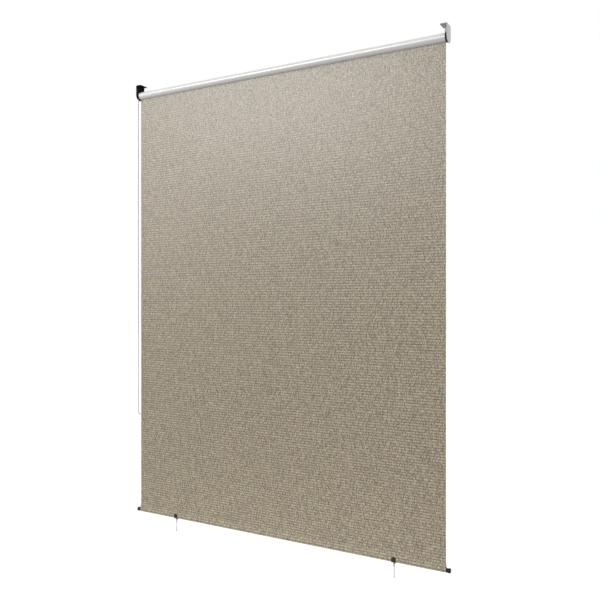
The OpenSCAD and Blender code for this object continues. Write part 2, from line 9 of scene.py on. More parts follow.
import bmesh
import bpy
import numpy as np
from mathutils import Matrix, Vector

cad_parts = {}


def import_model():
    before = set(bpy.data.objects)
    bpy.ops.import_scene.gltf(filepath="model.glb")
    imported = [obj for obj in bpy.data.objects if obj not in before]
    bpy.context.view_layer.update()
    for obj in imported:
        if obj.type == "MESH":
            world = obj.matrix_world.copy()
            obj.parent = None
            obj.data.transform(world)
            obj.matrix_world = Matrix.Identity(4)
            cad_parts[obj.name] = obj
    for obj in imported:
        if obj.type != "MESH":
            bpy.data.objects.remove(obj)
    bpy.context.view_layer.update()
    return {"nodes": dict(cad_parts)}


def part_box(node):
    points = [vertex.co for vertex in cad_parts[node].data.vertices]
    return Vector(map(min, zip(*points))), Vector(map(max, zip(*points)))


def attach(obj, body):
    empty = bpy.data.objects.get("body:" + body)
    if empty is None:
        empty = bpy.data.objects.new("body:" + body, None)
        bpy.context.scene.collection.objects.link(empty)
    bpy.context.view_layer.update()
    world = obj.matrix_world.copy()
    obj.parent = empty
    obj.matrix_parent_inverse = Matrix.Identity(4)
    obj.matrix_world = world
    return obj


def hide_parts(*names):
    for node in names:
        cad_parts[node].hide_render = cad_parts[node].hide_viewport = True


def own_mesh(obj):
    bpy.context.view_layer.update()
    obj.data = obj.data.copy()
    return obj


LOG = logging.getLogger("roller_shade")
ROW_MAP = "row_map"
BEAD_MASK = "bead_mask"
SEED = 7
SHARP_FROM = math.radians(60.0)
FULL_TURN = 2.0 * math.pi

# Sizes in metres, and a count, that several pieces share
CLOTH_WIDTH = 1.749
ROW_PITCH = 0.0125
ROW_RISE = 0.0005
ROLLER_Z = -0.054
CLOTH_COLUMNS = 134

Colour = tuple[float, float, float]
Point = tuple[float, float, float]
Socket = bpy.types.NodeSocket
Value = Socket | float | int | str | tuple[float, ...]


class Body(Enum):
    """Bodies of the frame that new pieces ride on."""

    MOUNTS = "mounts"
    BOTTOM_RAIL = "bottom_rail"
    SPRUNG_PIN = "sprung_pin"
    LEFT_TIE = "left_tie"
    RIGHT_TIE = "right_tie"


class Slot(Enum):
    """Material slots of the record for the new pieces; nothing in the script reads them."""

    CLOTH = "shade_cloth"
    CHAIN = "chain_plastic"
    STEEL = "spring_steel"
    TIE_CORD = "tie_cord"


class Side(Enum):
    """The two tie-downs, with their place along the roller in metres."""

    LEFT = -0.6195
    RIGHT = 0.6345


class NodeGraph:
    """A node tree and short ways to add and join its nodes."""

    def __init__(self, tree: bpy.types.NodeTree) -> None:
        """Keeps the tree that the nodes go into."""
        self.tree = tree

    def node(
            self, kind: str, inputs: dict[str | int, Value] | None = None, **settings: Any,
    ) -> bpy.types.Node:
        """Adds a node.

        Args:
            kind: The node's type name.
            inputs: Values or sockets by input name or number.
            settings: Properties of the node, set before its inputs.

        Returns:
            The new node.
        """
        made = self.tree.nodes.new(kind)
        for key, setting in settings.items():
            setattr(made, key, setting)
        for key, value in (inputs or {}).items():
            self.feed(self.open_input(made, key), value)
        return made

    @staticmethod
    def open_input(made: bpy.types.Node, key: str | int) -> Socket:
        """Finds an input of a node that is in use.

        Args:
            made: The node.
            key: The input's name or number.

        Returns:
            The input.
        """
        if isinstance(key, int):
            return made.inputs[key]
        return next(s for s in made.inputs if s.name == key and s.enabled)

    def feed(self, socket: Socket, value: Value) -> None:
        """Joins a socket to an input, or sets the input to a constant.

        Args:
            socket: The input.
            value: The socket or constant that it gets.
        """
        if isinstance(value, bpy.types.NodeSocket):
            self.tree.links.new(value, socket)
        else:
            socket.default_value = value

    def math(self, operation: str, *values: Value) -> Socket:
        """Adds a Math node and gives its result."""
        return self.node("ShaderNodeMath", dict(enumerate(values)), operation=operation).outputs[0]

    def ramp(
            self, value: Value, low: float, high: float, to_low: float = 0.0, to_high: float = 1.0,
    ) -> Socket:
        """Maps a value smoothly from one range to another.

        Args:
            value: What is mapped.
            low: Start of the range it comes from.
            high: End of that range.
            to_low: Result at the start.
            to_high: Result at the end.

        Returns:
            The mapped value.
        """
        made = self.node(
            "ShaderNodeMapRange",
            {"Value": value, "From Min": low, "From Max": high, "To Min": to_low, "To Max": to_high},
            interpolation_type="SMOOTHSTEP",
        )
        return made.outputs["Result"]

    def vector(self, x: Value, y: Value, z: Value = 0.0) -> Socket:
        """Joins three values into a vector."""
        return self.node("ShaderNodeCombineXYZ", {0: x, 1: y, 2: z}).outputs[0]

    def parts(self, vector: Value) -> list[Socket]:
        """Splits a vector into its three values."""
        return list(self.node("ShaderNodeSeparateXYZ", {0: vector}).outputs)

    def noise(self, place: Value, scale: Value, detail: float = 2.0) -> Socket:
        """Gives the value of a noise pattern at a place."""
        made = self.node("ShaderNodeTexNoise", {"Vector": place, "Scale": scale, "Detail": detail})
        return made.outputs[0]

    def mottle(self, place: Value, scale: Value, detail: float, half_span: float = 0.2) -> Socket:
        """Gives a noise pattern that is stretched about its middle to run from 0 to 1."""
        return self.ramp(self.noise(place, scale, detail), 0.5 - half_span, 0.5 + half_span)

    def chance(self, x: Value, y: Value = 0.0) -> Socket:
        """Gives a random value from 0 to 1 for each pair of whole numbers."""
        made = self.node("ShaderNodeTexWhiteNoise", {"Vector": self.vector(x, y)}, noise_dimensions="2D")
        return made.outputs["Value"]

    def wave(self, turns: Value) -> Socket:
        """Gives a wave from 0 to 1 that comes back with each whole turn."""
        swing = self.math("SINE", self.math("MULTIPLY", turns, FULL_TURN))
        return self.math("MULTIPLY_ADD", swing, 0.5, 0.5)

    def blend(self, share: Value, first: Value, second: Value, mode: str = "MIX") -> Socket:
        """Blends two colours.

        Args:
            share: How much of the second colour is used.
            first: The first colour.
            second: The second colour.
            mode: Blend type.

        Returns:
            The blended colour.
        """
        inputs = {0: share, 6: first, 7: second}
        made = self.node("ShaderNodeMix", inputs, data_type="RGBA", blend_type=mode)
        return made.outputs[2]


class EffectGroup(NodeGraph):
    """A shader node group that several materials share."""

    def __init__(self, name: str, inputs: list[str], outputs: list[str]) -> None:
        """Makes the group's interface.

        Args:
            name: The group's name.
            inputs: Names of the values that each material sets.
            outputs: Names of the values it puts out.
        """
        super().__init__(bpy.data.node_groups.new(name, "ShaderNodeTree"))
        for way, labels in (("INPUT", inputs), ("OUTPUT", outputs)):
            for label in labels:
                self.tree.interface.new_socket(label, in_out=way, socket_type="NodeSocketFloat")
        self.source = self.tree.nodes.new("NodeGroupInput")
        self.sink = self.tree.nodes.new("NodeGroupOutput")

    def given(self, label: str) -> Socket:
        """Gives the group's own input inside it."""
        return self.source.outputs[label]

    def put(self, label: str, value: Socket) -> None:
        """Puts a value out of the group."""
        self.tree.links.new(value, self.sink.inputs[label])

    def object_place(self) -> Socket:
        """Gives the place on the piece in metres."""
        return self.node("ShaderNodeTexCoord").outputs["Object"]

    def row_place(self) -> list[Socket]:
        """Gives the place along and across the cloth's rows in metres."""
        return self.parts(self.node("ShaderNodeUVMap", uv_map=ROW_MAP).outputs[0])[:2]


class Effects:
    """The shared shader groups, each built once.

    Attributes:
        YARN_EDGE: Where the yarn starts to fall away and where it ends, in rows from its crest.
        ROW_HOP: Step from one row to the next in the noise that makes the slubs.
        FIBRE_STRETCH: Scale of the fibre's noise along the rows, across them and through the cloth.
    """

    YARN_EDGE = (0.14, 0.4)
    ROW_HOP = 7.3
    FIBRE_STRETCH = (0.6, 1.6, 1.0)

    def __init__(self) -> None:
        """Builds every group."""
        self.grain = self.moulded_grain().tree
        self.drawn = self.drawn_lines().tree
        self.knit = self.knit_rows().tree
        self.braid = self.braided_strands().tree

    @staticmethod
    def moulded_grain() -> EffectGroup:
        """Makes fine pits of a moulded surface and the soft cloudiness of a handled one.

        Returns:
            The group.
        """
        group = EffectGroup("moulded_grain", ["Pits per metre", "Clouds per metre"], ["Pits", "Clouds"])
        place = group.object_place()
        for label, detail in (("Pits", 2.0), ("Clouds", 4.0)):
            group.put(label, group.mottle(place, group.given(f"{label} per metre"), detail))
        return group

    @staticmethod
    def drawn_lines() -> EffectGroup:
        """Makes the lines that a die leaves along a drawn or extruded bar, on X.

        Returns:
            The group.
        """
        group = EffectGroup(
            "drawn_lines", ["Lines per metre", "Stretch", "Hazes per metre"], ["Lines", "Haze"])
        place = group.object_place()
        x, y, z = group.parts(place)
        drawn_out = group.vector(group.math("MULTIPLY", x, group.given("Stretch")), y, z)
        group.put("Lines", group.mottle(drawn_out, group.given("Lines per metre"), 3.0, 0.25))
        group.put("Haze", group.mottle(place, group.given("Hazes per metre"), 3.0))
        return group

    def knit_rows(self) -> EffectGroup:
        """Makes rows of a coarse knit: wandering yarn, stitches of uneven tone, slanted loops and fibre.

        Returns:
            The group.
        """
        group = EffectGroup(
            "knit_rows",
            ["Row pitch", "Loop pitch", "Loop slant", "Wander", "Wanders per metre", "Contrast",
             "Slubs per metre", "Fibres per metre", "Patches per metre"],
            ["Yarn", "Stitches", "Slubs", "Loops", "Fibre", "Patch"])
        along, down = group.row_place()
        place = group.vector(along, down)
        aside = group.math("SUBTRACT", group.noise(place, group.given("Wanders per metre"), 1.0), 0.5)
        straight = group.math("DIVIDE", down, group.given("Row pitch"))
        row = group.math("MULTIPLY_ADD", aside, group.given("Wander"), straight)
        to_crest = group.math("PINGPONG", row, 0.5)
        # Yarn is 1 on a row's crest and 0 in the gap between rows, where the cloth's colour paints shade.
        group.put("Yarn", group.ramp(to_crest, *self.YARN_EDGE, 1.0, 0.0))
        turn = group.math("DIVIDE", along, group.given("Loop pitch"))
        slant = group.math("MULTIPLY_ADD", to_crest, group.given("Loop slant"), turn)
        group.put("Loops", group.wave(slant))
        band = group.math("FLOOR", group.math("MULTIPLY_ADD", row, 2.0, 0.5))
        stitch = group.math("FLOOR", group.math("ADD", slant, group.chance(band)))
        group.put("Stitches", self.stitch_tone(group, stitch, band))
        slub_turn = group.math("MULTIPLY", along, group.given("Slubs per metre"))
        thread = group.vector(slub_turn, group.math("MULTIPLY", band, self.ROW_HOP))
        group.put("Slubs", group.mottle(thread, 1.0, 0.0))
        fine = group.node("ShaderNodeMapping", {"Vector": place, "Scale": self.FIBRE_STRETCH})
        group.put("Fibre", group.mottle(fine.outputs[0], group.given("Fibres per metre"), 3.0, 0.22))
        group.put("Patch", group.mottle(place, group.given("Patches per metre"), 2.0))
        return group

    @staticmethod
    def stitch_tone(group: EffectGroup, stitch: Socket, band: Socket) -> Socket:
        """Draws a stitch's tone by chance, and moves it away from its neighbour's.

        Args:
            group: The knit's group.
            stitch: Number of the stitch along its row.
            band: Number of the row of stitches.

        Returns:
            The tone, from 0 to 1.
        """
        contrast = group.given("Contrast")
        beside = group.chance(group.math("SUBTRACT", stitch, 1.0), band)
        away = group.math("MULTIPLY", group.math("SUBTRACT", 1.0, beside), contrast)
        own_share = group.math("SUBTRACT", 1.0, contrast)
        return group.math("MULTIPLY_ADD", group.chance(stitch, band), own_share, away)

    @staticmethod
    def braided_strands() -> EffectGroup:
        """Makes the slanting strands of a twisted or braided cord that hangs along Z.

        Returns:
            The group.
        """
        group = EffectGroup(
            "braided_strands", ["Strands per metre", "Tilt per metre", "Fibres per metre"],
            ["Strands", "Fibre"])
        place = group.object_place()
        x, y, z = group.parts(place)
        turn = group.math("MULTIPLY", z, group.given("Strands per metre"))
        tilt = group.math("MULTIPLY_ADD", group.math("ADD", x, y), group.given("Tilt per metre"), turn)
        group.put("Strands", group.wave(tilt))
        group.put("Fibre", group.noise(place, group.given("Fibres per metre")))
        return group


class Paint(NodeGraph):
    """One material: its Principled shader and the nodes that lead to it."""

    def __init__(self, name: str) -> None:
        """Makes an empty material with its shader.

        Args:
            name: The material's name.
        """
        self.material = bpy.data.materials.new(name)
        self.material.use_nodes = True
        super().__init__(self.material.node_tree)
        self.shader = self.tree.nodes["Principled BSDF"]

    def effect(self, tree: bpy.types.NodeTree, **values: float) -> bpy.types.Node:
        """Places a shared group.

        Args:
            tree: The group's tree.
            values: Its inputs, with spaces written as underscores.

        Returns:
            The group's node.
        """
        made = self.node("ShaderNodeGroup", node_tree=tree)
        for label, value in values.items():
            made.inputs[label.replace("_", " ")].default_value = value
        return made

    def look(self, **values: Value) -> None:
        """Sets or joins inputs of the shader, with spaces written as underscores."""
        for label, value in values.items():
            self.feed(self.shader.inputs[label.replace("_", " ")], value)

    def between(self, share: Socket, ends: tuple[float, float]) -> Socket:
        """Goes smoothly from one value to another as the share goes from 0 to 1."""
        return self.ramp(share, 0.0, 1.0, *ends)

    def relief(self, height: Socket, depth: float, strength: float) -> None:
        """Raises the surface by a height pattern.

        Args:
            height: The pattern, from 0 to 1.
            depth: Its depth in metres.
            strength: How far the shading follows it.
        """
        made = self.node("ShaderNodeBump", {"Height": height, "Distance": depth, "Strength": strength})
        self.look(Normal=made.outputs[0])


def rgba(colour: Colour) -> tuple[float, float, float, float]:
    """Adds a full alpha to a colour."""
    return (*colour, 1.0)


WHITE = rgba((1.0, 1.0, 1.0))


@dataclass(frozen=True)
class Surface:
    """A finish that makes one material."""

    name: str

    def material(self, effects: Effects) -> bpy.types.Material:
        """Builds the material.

        Args:
            effects: The shared groups.

        Returns:
            The material.
        """
        paint = Paint(self.name)
        self.coat(paint, effects)
        return paint.material

    def coat(self, paint: Paint, effects: Effects) -> None:
        """Joins the shared groups to the shader: each kind of finish does this its own way.

        Args:
            paint: The material.
            effects: The shared groups.
        """
        raise NotImplementedError


@dataclass(frozen=True)
class MouldedPlastic(Surface):
    """Moulded plastic with a fine grain."""

    colour: Colour
    worn: Colour
    rough: tuple[float, float] = (0.42, 0.56)
    specular: float = 0.4
    pits_per_metre: float = 2600.0
    clouds_per_metre: float = 45.0
    pit_depth: float = 0.00006
    pit_strength: float = 0.5

    def coat(self, paint: Paint, effects: Effects) -> None:
        """Clouds the colour and pits the surface.

        Args:
            paint: The material.
            effects: The shared groups.
        """
        grain = paint.effect(
            effects.grain, Pits_per_metre=self.pits_per_metre, Clouds_per_metre=self.clouds_per_metre)
        paint.look(
            Base_Color=paint.blend(grain.outputs["Clouds"], rgba(self.colour), rgba(self.worn)),
            Roughness=paint.between(grain.outputs["Clouds"], self.rough),
            Specular_IOR_Level=self.specular,
        )
        paint.relief(grain.outputs["Pits"], self.pit_depth, self.pit_strength)


@dataclass(frozen=True)
class DrawnMetal(Surface):
    """Drawn or extruded metal with fine lines along it."""

    colour: Colour
    lined: Colour
    rough: tuple[float, float]
    metallic: float = 1.0
    specular: float = 0.5
    lines_per_metre: float = 900.0
    stretch: float = 0.004
    hazes_per_metre: float = 14.0
    line_depth: float = 0.00002
    line_strength: float = 0.4

    def coat(self, paint: Paint, effects: Effects) -> None:
        """Draws the lines and hazes the gloss.

        Args:
            paint: The material.
            effects: The shared groups.
        """
        drawn = paint.effect(
            effects.drawn, Lines_per_metre=self.lines_per_metre, Stretch=self.stretch,
            Hazes_per_metre=self.hazes_per_metre)
        paint.look(
            Base_Color=paint.blend(drawn.outputs["Lines"], rgba(self.colour), rgba(self.lined)),
            Roughness=paint.between(drawn.outputs["Haze"], self.rough),
            Metallic=self.metallic,
            Specular_IOR_Level=self.specular,
        )
        paint.relief(drawn.outputs["Lines"], self.line_depth, self.line_strength)


@dataclass(frozen=True)
class ShadeKnit(Surface):
    """Knitted sun cloth: pale yarn in rows, dark gaps between them painted as shade in the valleys between
    the rows, and stitches of many tones.
    """

    yarn: Colour
    shaded_gap: Colour
    stitches: tuple[Colour, Colour]
    patches: tuple[Colour, Colour]
    rough: tuple[float, float] = (0.42, 0.5)
    specular: float = 0.67
    loop_share: float = 0.16
    slub_share: float = 0.05
    row_pitch: float = ROW_PITCH
    loop_pitch: float = 0.0048
    loop_slant: float = 0.9
    wander: float = 0.16
    wanders_per_metre: float = 75.0
    contrast: float = 0.2
    slubs_per_metre: float = 75.0
    fibres_per_metre: float = 950.0
    patches_per_metre: float = 13.0
    loop_height: float = 0.6
    yarn_depth: float = 0.0004
    yarn_strength: float = 0.5

    def coat(self, paint: Paint, effects: Effects) -> None:
        """Lays the yarn in rows with painted shade in the gaps between them, tones each stitch and raises
        loops and fibre.

        Args:
            paint: The material.
            effects: The shared groups.
        """
        knit = paint.effect(
            effects.knit, Row_pitch=self.row_pitch, Loop_pitch=self.loop_pitch, Loop_slant=self.loop_slant,
            Wander=self.wander, Wanders_per_metre=self.wanders_per_metre, Contrast=self.contrast,
            Slubs_per_metre=self.slubs_per_metre, Fibres_per_metre=self.fibres_per_metre,
            Patches_per_metre=self.patches_per_metre).outputs
        shade = paint.math("MULTIPLY", knit["Loops"], self.loop_share)
        looped = paint.blend(shade, rgba(self.yarn), rgba(self.shaded_gap))
        # Between the rows the colour goes to the shaded gap: painted shade in the valleys between the
        # rows.
        rows = paint.blend(knit["Yarn"], rgba(self.shaded_gap), looped)
        even = paint.math("MULTIPLY", knit["Stitches"], 1.0 - self.slub_share)
        uneven = paint.math("MULTIPLY_ADD", knit["Slubs"], self.slub_share, even)
        tone, tint = (
            paint.blend(share, rgba(low), rgba(high))
            for share, (low, high) in ((uneven, self.stitches), (knit["Patch"], self.patches)))
        paint.look(
            Base_Color=paint.blend(1.0, paint.blend(1.0, rows, tint, "MULTIPLY"), tone, "MULTIPLY"),
            Roughness=paint.between(knit["Fibre"], self.rough),
            Specular_IOR_Level=self.specular,
        )
        height = paint.math("MULTIPLY_ADD", knit["Loops"], self.loop_height, knit["Fibre"])
        paint.relief(paint.math("MULTIPLY", height, knit["Yarn"]), self.yarn_depth, self.yarn_strength)


@dataclass(frozen=True)
class BraidedCord(Surface):
    """Braided cord with visible strands."""

    strand: Colour
    shade: Colour
    fibre_span: tuple[float, float] = (0.3, 0.7)
    rough: tuple[float, float] = (0.65, 0.85)
    strands_per_metre: float = 420.0
    tilt_per_metre: float = 700.0
    fibres_per_metre: float = 2600.0
    strand_depth: float = 0.00012
    strand_strength: float = 0.5

    def coat(self, paint: Paint, effects: Effects) -> None:
        """Shades and raises the strands.

        Args:
            paint: The material.
            effects: The shared groups.
        """
        braid = paint.effect(
            effects.braid, Strands_per_metre=self.strands_per_metre, Tilt_per_metre=self.tilt_per_metre,
            Fibres_per_metre=self.fibres_per_metre)
        paint.look(
            Base_Color=paint.blend(braid.outputs["Strands"], rgba(self.shade), rgba(self.strand)),
            Roughness=paint.ramp(braid.outputs["Fibre"], *self.fibre_span, *self.rough),
        )
        paint.relief(braid.outputs["Strands"], self.strand_depth, self.strand_strength)


@dataclass(frozen=True)
class StrungBeads(Surface):
    """Glossy moulded beads on a cord."""

    bead: Colour
    cord: Colour
    rough: tuple[float, float] = (0.3, 0.42)
    specular: float = 0.3
    pits_per_metre: float = 2600.0
    clouds_per_metre: float = 45.0
    pit_depth: float = 0.00004
    pit_strength: float = 0.3

    def coat(self, paint: Paint, effects: Effects) -> None:
        """Tells the beads from their cord and pits both.

        Args:
            paint: The material.
            effects: The shared groups.
        """
        grain = paint.effect(
            effects.grain, Pits_per_metre=self.pits_per_metre, Clouds_per_metre=self.clouds_per_metre)
        part = paint.node("ShaderNodeAttribute", attribute_name=BEAD_MASK)
        paint.look(
            Base_Color=paint.blend(part.outputs["Fac"], rgba(self.cord), rgba(self.bead)),
            Roughness=paint.between(grain.outputs["Clouds"], self.rough),
            Specular_IOR_Level=self.specular,
        )
        paint.relief(grain.outputs["Pits"], self.pit_depth, self.pit_strength)


class Finish(Enum):
    """The finishes of the shade's pieces."""

    BLACK = MouldedPlastic(
        "black_moulding", (0.006, 0.006, 0.006), (0.009, 0.009, 0.009), (0.5, 0.62), specular=0.12)
    CAP = MouldedPlastic(
        "satin_black_moulding", (0.009, 0.007, 0.007), (0.014, 0.011, 0.011), specular=0.16)
    CLIP = MouldedPlastic(
        "brown_black_moulding", (0.026, 0.019, 0.011), (0.036, 0.027, 0.016), specular=0.2)
    GREY = MouldedPlastic("pale_grey_moulding", (0.36, 0.36, 0.355), (0.385, 0.385, 0.38))
    WHITE = MouldedPlastic("white_moulding", (0.78, 0.78, 0.75), (0.72, 0.72, 0.69))
    CHAIN = StrungBeads("dark_beads", (0.018, 0.018, 0.018), (0.12, 0.12, 0.115))
    TUBE = DrawnMetal(
        "anodised_tube", (0.775, 0.77, 0.76), (0.725, 0.72, 0.71), (0.34, 0.38),
        metallic=0.0, specular=0.9)
    ALUMINIUM = DrawnMetal("satin_aluminium_bar", (0.6, 0.59, 0.57), (0.54, 0.53, 0.515), (0.2, 0.27))
    STEEL = DrawnMetal("spring_steel_wire", (0.5, 0.5, 0.51), (0.42, 0.42, 0.43), (0.2, 0.3))
    HOOK = MouldedPlastic(
        "coated_hook_wire", (0.06, 0.06, 0.06), (0.08, 0.08, 0.08), (0.4, 0.5), specular=0.25)
    # The cloth's shaded gap colour is painted shade in the valleys between the knit's rows.
    CLOTH = ShadeKnit(
        "taupe_knit", yarn=(0.408, 0.346, 0.232), shaded_gap=(0.239, 0.199, 0.13),
        stitches=((0.32, 0.3, 0.26), (1.68, 1.7, 1.83)),
        patches=((1.006, 0.997, 1.0), (0.994, 1.003, 1.0)))
    TIE = BraidedCord("grey_braid", (0.19, 0.18, 0.17), (0.15, 0.145, 0.135))


class GeometryTree(NodeGraph):
    """A geometry node tree with named inputs, run once to give a plain mesh."""

    def __init__(self, name: str) -> None:
        """Makes the tree with its geometry in and out.

        Args:
            name: The tree's name.
        """
        super().__init__(bpy.data.node_groups.new(name, "GeometryNodeTree"))
        for way in ("INPUT", "OUTPUT"):
            self.tree.interface.new_socket("Geometry", in_out=way, socket_type="NodeSocketGeometry")
        self.source = self.tree.nodes.new("NodeGroupInput")
        self.sink = self.tree.nodes.new("NodeGroupOutput")
        self.values: dict[str, Any] = {}

    def given(self, label: str, value: Any) -> Socket:
        """Adds a named input.

        Args:
            label: The input's name.
            value: What the modifier sets it to: an int, a float or a material.

        Returns:
            The input inside the tree.
        """
        kinds = {int: "NodeSocketInt", float: "NodeSocketFloat"}
        kind = kinds.get(type(value), "NodeSocketMaterial")
        made = self.tree.interface.new_socket(label, in_out="INPUT", socket_type=kind)
        self.values[made.identifier] = value
        return self.source.outputs[label]

    def carried_path(self) -> Socket:
        """Gives the edges of the carrier as a curve."""
        return self.node("GeometryNodeMeshToCurve", {"Mesh": self.source.outputs["Geometry"]}).outputs[0]

    def wire(self, path: Socket, label: str, radius: float, sides: int, caps: bool = False) -> Socket:
        """Sweeps a round wire along a curve.

        Args:
            path: The curve.
            label: Name of the input that sets the wire's radius.
            radius: That radius.
            sides: How many flat sides the wire has.
            caps: Whether its ends are closed.

        Returns:
            The wire's mesh.
        """
        ring = self.node(
            "GeometryNodeCurvePrimitiveCircle", {"Resolution": sides, "Radius": self.given(label, radius)},
            mode="RADIUS")
        swept = self.node("GeometryNodeCurveToMesh", {
            "Curve": path, "Profile Curve": ring.outputs[0], "Fill Caps": caps})
        return swept.outputs[0]

    def finish(self, geometry: Socket, material: bpy.types.Material) -> None:
        """Ends the tree: instances become real, faces smooth, corners sharp and the material is set.

        Args:
            geometry: What the tree has made.
            material: Its finish.
        """
        real = self.node("GeometryNodeRealizeInstances", {"Geometry": geometry})
        smooth = self.node("GeometryNodeSetShadeSmooth", {"Geometry": real.outputs[0]})
        bend = self.node("GeometryNodeInputMeshEdgeAngle").outputs[0]
        corner = self.node("FunctionNodeCompare", {"A": bend, "B": SHARP_FROM}, operation="GREATER_THAN")
        edged = self.node("GeometryNodeSetShadeSmooth", {
            "Geometry": smooth.outputs[0], "Selection": corner.outputs[0], "Shade Smooth": False,
        }, domain="EDGE")
        painted = self.node("GeometryNodeSetMaterial", {
            "Geometry": edged.outputs[0], "Material": self.given("Material", material)})
        self.tree.links.new(painted.outputs[0], self.sink.inputs[0])

    def run(self, name: str, carrier: bpy.types.Mesh) -> bpy.types.Object:
        """Runs the tree on a carrier mesh.

        Args:
            name: Name of the new piece.
            carrier: Mesh that the tree starts from.

        Returns:
            An object with the result as a plain mesh, without the modifier.
        """
        made = link_object(name, carrier)
        modifier = made.modifiers.new(self.tree.name, "NODES")
        modifier.node_group = self.tree
        for identifier, value in self.values.items():
            modifier[identifier] = value
        graph = bpy.context.evaluated_depsgraph_get()
        plain = bpy.data.meshes.new_from_object(made.evaluated_get(graph))
        made.modifiers.remove(modifier)
        made.data = plain
        return made


def link_object(name: str, data: bpy.types.ID) -> bpy.types.Object:
    """Puts a new object into the scene.

    Args:
        name: The object's name.
        data: Its mesh, curve, lamp or camera.

    Returns:
        The object.
    """
    made = bpy.data.objects.new(name, data)
    bpy.context.scene.collection.objects.link(made)
    return made


def line_mesh(name: str, lines: list[list[Point]], closed: bool) -> bpy.types.Mesh:
    """Makes a mesh of edges along lines of points, for a tree to follow.

    Args:
        name: The mesh's name.
        lines: The points of each line.
        closed: Whether each line ends where it starts.

    Returns:
        The mesh.
    """
    points: list[Point] = []
    edges: list[tuple[int, int]] = []
    for line in lines:
        first, count = len(points), len(line)
        points.extend(line)
        edges.extend((first + i, first + (i + 1) % count) for i in range(count if closed else count - 1))
    made = bpy.data.meshes.new(name)
    made.from_pydata(points, edges, [])
    return made


